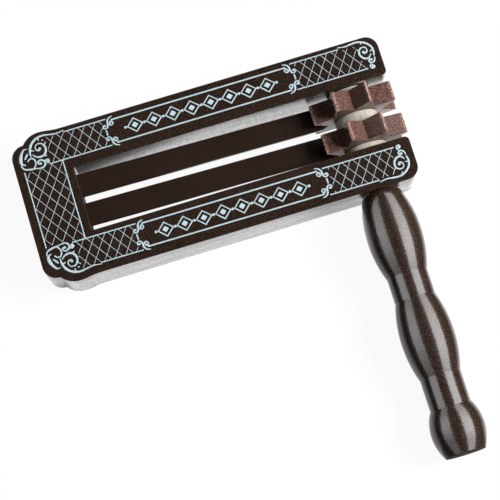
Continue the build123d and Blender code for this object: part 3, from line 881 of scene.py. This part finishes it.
class NOISEMAKER_OT_stage(bpy.types.Operator):
    """Set the table, the lamps, the surroundings and the camera"""

    bl_idname = "noisemaker.stage"
    bl_label = "Stage"

    # Table: its size, where the knob rests on it, its glow and its share of light to the camera
    table_half = 4.0
    knob_rest_mm = 10.0
    table_lift = 0.94
    table_share = 0.07
    # Table in gloss: its glow and its share of light, and how far off it fades
    gloss_lift = 0.9
    gloss_share = 0.5
    near_mm = 14.0
    far_mm = 60.0
    # Table in gloss under the frame: painted shade, dark at the closed end and light towards the open end
    slot_lift = 1.65
    slot_half_mm = 13.0
    slot_reach_mm = 6.5
    slot_skew = 10.0
    slot_dark_mm = -18.0
    slot_light_mm = 24.0
    slot_edge_mm = 5.0
    # Painted shade on the table in gloss, on the handle's shaded side and past its knob: what is left, and
    # over what length
    side_shade = 0.65
    side_start_mm = 10.0
    side_end_mm = 20.0
    knob_shade = 0.15
    knob_edge_mm = 4.0
    # Lamps: their distance, the way to each of them and their widths
    lamp_distance = 1.5
    key_height = radians(43.0)
    key_way = (cos(key_height), -0.1, sin(key_height))
    key_width = 0.75
    fill_way = (-0.5, -0.3, 0.85)
    fill_width = 1.2
    # Panels: the angles from straight up towards +X between which each stands, and its reach along Y
    panel_distance = 3.0
    panel_reach = 65.0
    right_span = (20.0, 62.0)
    left_span = (-32.0, -74.0)
    # How a panel's light falls off along the handle: the angles where it starts and ends, and what is left
    right_falls = ((-8.0, -30.0, 0.65), (8.0, 45.0, 0.55))
    left_falls = ((8.0, -22.0, 0.35), (22.0, 45.0, 0.6))
    # The flat boards show weaker panels, so that their print stays clear from low angles
    board_names = ("frame", "upper_tongue", "lower_tongue", "print")
    board_share = 0.2
    board_panel_distance = 3.1
    # Surroundings in gloss and for dull surfaces
    studio_gloss = 0.02
    studio_fill = 0.03
    # Camera: its place and target from the closed end's middle, its roll, its film and how far it sees
    camera_mm = (52.912, -179.438, 685.818)
    target_mm = (77.560, -36.017, 9.992)
    camera_roll = -7.261
    film_mm = 36.0
    sight = 50.0

    def execute(self, context):
        stage = context.scene.noisemaker_stage
        context.scene.view_settings.view_transform = "Standard"
        pieces = [piece for piece in bpy.data.objects if piece.type == "MESH"]
        boards = [piece for piece in pieces if piece.name.startswith(self.board_names)]
        turned = [piece for piece in pieces if piece not in boards]
        self.add_table(context, stage)
        self.add_world(context)
        self.add_lamp(context, "key_lamp", stage.key, Vector(self.key_way), self.key_width)
        self.add_lamp(context, "fill_lamp", stage.fill, Vector(self.fill_way), self.fill_width)
        self.add_panels(context, "turned", turned, 1.0, self.panel_distance)
        self.add_panels(context, "board", boards, self.board_share, self.board_panel_distance)
        self.add_camera(context, stage)
        return {"FINISHED"}

    def add_table(self, context, stage):
        """A white table under the lowest tooth, the knob and the closed end."""
        tooth = Vector((axle_x, wheel_low.y, wheel_low.z))
        knob = Vector((axle_x, handle_low.y + self.knob_rest_mm * MM, handle_low.z))
        up = (knob - frame_low).cross(tooth - frame_low).normalized()
        across = Vector((1.0, 0.0, 0.0)).cross(up).normalized() * self.table_half
        along = across.cross(up).normalized() * -self.table_half
        corners = [tooth + along * a + across * b for a, b in ((-1, -1), (1, -1), (1, 1), (-1, 1))]
        mesh = bpy.data.meshes.new("table")
        mesh.from_pydata(corners, [], [(0, 3, 2, 1)])
        mesh.materials.append(self.table_material(stage))
        table = bpy.data.objects.new("table", mesh)
        context.scene.collection.objects.link(table)

    def table_material(self, stage):
        """White paint that stays white for the camera and keeps a soft shadow. In gloss it is white near by,
        with
        painted shade: dark under the closed end, and dim on the handle's shaded side and past the knob."""
        material, add = start_material("white_table")
        path = add("ShaderNodeLightPath").outputs
        place = add("ShaderNodeNewGeometry").outputs["Position"]
        place = add("ShaderNodeSeparateXYZ", {"Vector": place}).outputs
        side_start = frame_low.y - self.side_start_mm * MM
        side_end = frame_low.y - self.side_end_mm * MM
        knob_end = handle_low.y - self.knob_edge_mm * MM
        edge = self.slot_edge_mm * MM
        values = {"x": place["X"], "y": place["Y"], "ray": path["Ray Length"]}
        ramps = (
            ("beside", "x", handle_low.x, handle_high.x, self.side_shade, 1.0),
            ("along_handle", "y", side_end, side_start, "beside", 1.0),
            ("past_knob", "y", knob_end, handle_low.y, self.knob_shade, "along_handle"),
            ("near", "ray", self.near_mm * MM, self.far_mm * MM, "past_knob", 0.0),
            ("under", "y", frame_low.y, frame_low.y + edge, 0.0, 1.0),
            ("inside", "x", closed_x, closed_x + edge, 0.0, "under"),
        )
        for result, *terms in ramps:
            terms = [values[term] if isinstance(term, str) else term for term in terms]
            links = dict(zip(("Value", "From Min", "From Max", "To Min", "To Max"), terms))
            values[result] = add("ShaderNodeMapRange", links)
        # Painted shade in gloss under the frame, dark at the closed end and lifting towards the open end
        far_wall = slot_y + self.slot_half_mm * MM
        depth = add("ShaderNodeMath", {0: values["y"], 1: far_wall}, operation="SUBTRACT")
        depth = add("ShaderNodeMath", {0: depth, 1: -self.slot_reach_mm * MM}, operation="MAXIMUM")
        links = {0: depth, 1: self.slot_skew, 2: values["x"]}
        skewed = add("ShaderNodeMath", links, operation="MULTIPLY_ADD")
        dark, light = closed_x + self.slot_dark_mm * MM, closed_x + self.slot_light_mm * MM
        links = {"Value": skewed, "From Min": dark, "From Max": light, "To Max": self.slot_lift}
        daylight = add("ShaderNodeMapRange", links, interpolation_type="SMOOTHSTEP")
        links = {"Factor": values["inside"], "A": 1.0, "B": daylight}
        values["light"] = add("ShaderNodeMix", links, data_type="FLOAT")
        values["camera"] = path["Is Camera Ray"]
        values["gloss"] = path["Is Glossy Ray"]
        steps = (
            ("near_gloss", "MULTIPLY", ("gloss", "near")),
            ("lit_gloss", "MULTIPLY", ("near_gloss", "light")),
            ("gloss_glow", "MULTIPLY", ("lit_gloss", self.gloss_lift)),
            ("glow", "MULTIPLY_ADD", ("camera", self.table_lift, "gloss_glow")),
            ("other", "SUBTRACT", (1.0, "gloss")),
            ("gloss_light", "MULTIPLY_ADD", ("near_gloss", self.gloss_share, "other")),
            ("camera_share", "MULTIPLY_ADD", ("camera", self.table_share - 1.0, 1.0)),
            ("share", "MULTIPLY", ("gloss_light", "camera_share")),
        )
        for result, operation, terms in steps:
            links = {i: values[term] if isinstance(term, str) else term for i, term in enumerate(terms)}
            values[result] = add("ShaderNodeMath", links, operation=operation)
        links = {"Factor": values["share"], "A": BLACK, "B": rgba(stage.table)}
        shade = add("ShaderNodeMix", links, data_type="RGBA")
        paint = add("ShaderNodeBsdfDiffuse", {"Color": shade})
        glow = add("ShaderNodeEmission", {"Strength": values["glow"]})
        both = add("ShaderNodeAddShader", {0: paint, 1: glow})
        add("ShaderNodeOutputMaterial", {"Surface": both})
        return material

    def add_world(self, context):
        """White to the camera, a little fill for dull surfaces, and a dark studio in gloss."""
        world = bpy.data.worlds.new("studio")
        world.use_nodes = True
        world.node_tree.nodes.clear()
        add = partial(add_node, world.node_tree)
        path = add("ShaderNodeLightPath").outputs
        links = {"Value": path["Is Diffuse Ray"], "To Min": self.studio_gloss, "To Max": self.studio_fill}
        fill = add("ShaderNodeMapRange", links)
        strength = add("ShaderNodeMath", {0: path["Is Camera Ray"], 1: fill}, operation="MAXIMUM")
        glow = add("ShaderNodeBackground", {"Color": WHITE, "Strength": strength})
        add("ShaderNodeOutputWorld", {"Surface": glow})
        context.scene.world = world

    def add_lamp(self, context, name, share, way, width):
        """A soft lamp for dull surfaces, whose light is a share of what makes white paint white."""
        lamp = bpy.data.lights.new(name, "AREA")
        lamp.shape = "DISK"
        lamp.size = width
        lamp.energy = share * pi * pi * self.lamp_distance**2
        holder = bpy.data.objects.new(name, lamp)
        turn = way.to_track_quat("Z", "Y").to_matrix().to_4x4()
        holder.matrix_world = Matrix.Translation(way.normalized() * self.lamp_distance) @ turn
        holder.visible_glossy = False
        holder.visible_camera = False
        context.scene.collection.objects.link(holder)

    def add_panels(self, context, group, pieces, share, distance):
        """The right and left panels that one group of pieces shows in its gloss."""
        stage = context.scene.noisemaker_stage
        lit = bpy.data.collections.new(f"{group}_pieces_in_panel_light")
        for piece in pieces:
            lit.objects.link(piece)
        sides = (
            ("right", stage.right_panel, self.right_span, self.right_falls),
            ("left", stage.left_panel, self.left_span, self.left_falls),
        )
        for side, brightness, span, falls in sides:
            panel = self.panel(f"{group}_{side}_panel", brightness * share, span, falls, distance)
            context.scene.collection.objects.link(panel)
            panel.light_linking.receiver_collection = lit
            panel.visible_camera = False
            panel.visible_diffuse = False
            panel.visible_shadow = False

    def panel(self, name, brightness, span, falls, distance):
        """A clear panel that glows, between two angles from straight up towards +X."""
        start, end = [Vector((sin(radians(a)), 0.0, cos(radians(a)))) * distance for a in span]
        height = ((start + end) / 2).length
        reach = Vector((0.0, height * tan(radians(self.panel_reach)), 0.0))
        mesh = bpy.data.meshes.new(name)
        mesh.from_pydata([start - reach, end - reach, end + reach, start + reach], [], [(0, 1, 2, 3)])
        material, add = start_material(name)
        place = add("ShaderNodeTexCoord").outputs["Object"]
        along = add("ShaderNodeSeparateXYZ", {"Vector": place}).outputs["Y"]
        strength = brightness
        for first, last, left in falls:
            near, far = [height * tan(radians(angle)) for angle in (first, last)]
            links = {"Value": along, "From Min": near, "From Max": far, "To Min": 1.0, "To Max": left}
            share = add("ShaderNodeMapRange", links)
            strength = add("ShaderNodeMath", {0: strength, 1: share}, operation="MULTIPLY")
        glow = add("ShaderNodeEmission", {"Strength": strength})
        clear = add("ShaderNodeBsdfTransparent")
        both = add("ShaderNodeAddShader", {0: clear, 1: glow})
        add("ShaderNodeOutputMaterial", {"Surface": both})
        mesh.materials.append(material)
        return bpy.data.objects.new(name, mesh)

    def add_camera(self, context, stage):
        """The photograph's camera: high above, leaning to the handle's side."""
        data = bpy.data.cameras.new("camera")
        data.lens = stage.lens
        data.sensor_width = self.film_mm
        data.clip_end = self.sight
        camera = bpy.data.objects.new("camera", data)
        corner = Vector((closed_x, slot_y, frame_low.z))
        place = corner + Vector(self.camera_mm) * MM
        target = corner + Vector(self.target_mm) * MM
        look = (target - place).to_track_quat("-Z", "Y").to_matrix()
        roll = Matrix.Rotation(radians(self.camera_roll), 3, "Z")
        camera.matrix_world = Matrix.Translation(place) @ (look @ roll).to_4x4()
        context.scene.collection.objects.link(camera)
        context.scene.camera = camera


class NOISEMAKER_PT_sidebar(bpy.types.Panel):
    """Steps and settings of the noisemaker"""

    bl_idname = "NOISEMAKER_PT_sidebar"
    bl_label = "Ratchet Noisemaker"
    bl_space_type = "VIEW_3D"
    bl_region_type = "UI"
    bl_category = "Noisemaker"

    def draw(self, context):
        for operator in operators:
            self.layout.operator(operator.bl_idname)
        for name, group in settings.items():
            box = self.layout.box()
            for setting in group.__annotations__:
                box.prop(getattr(context.scene, name), setting)


operators = (
    NOISEMAKER_OT_body,
    NOISEMAKER_OT_wheels,
    NOISEMAKER_OT_tongues,
    NOISEMAKER_OT_print,
    NOISEMAKER_OT_stage,
)
settings = {
    "noisemaker_finish": FinishSettings,
    "noisemaker_print": PrintSettings,
    "noisemaker_tongue": TongueSettings,
    "noisemaker_stage": StageSettings,
}
classes = (*settings.values(), *operators, NOISEMAKER_PT_sidebar)


def register():
    for cls in classes:
        bpy.utils.register_class(cls)
    for name, group in settings.items():
        setattr(bpy.types.Scene, name, PointerProperty(type=group))


def unregister():
    for name in settings:
        delattr(bpy.types.Scene, name)
    for cls in reversed(classes):
        bpy.utils.unregister_class(cls)


def main():
    register()
    bpy.ops.noisemaker.body()
    bpy.ops.noisemaker.wheels()
    bpy.ops.noisemaker.tongues()
    bpy.ops.noisemaker.print()
    bpy.ops.noisemaker.stage()


if __name__ == "__main__":
    main()
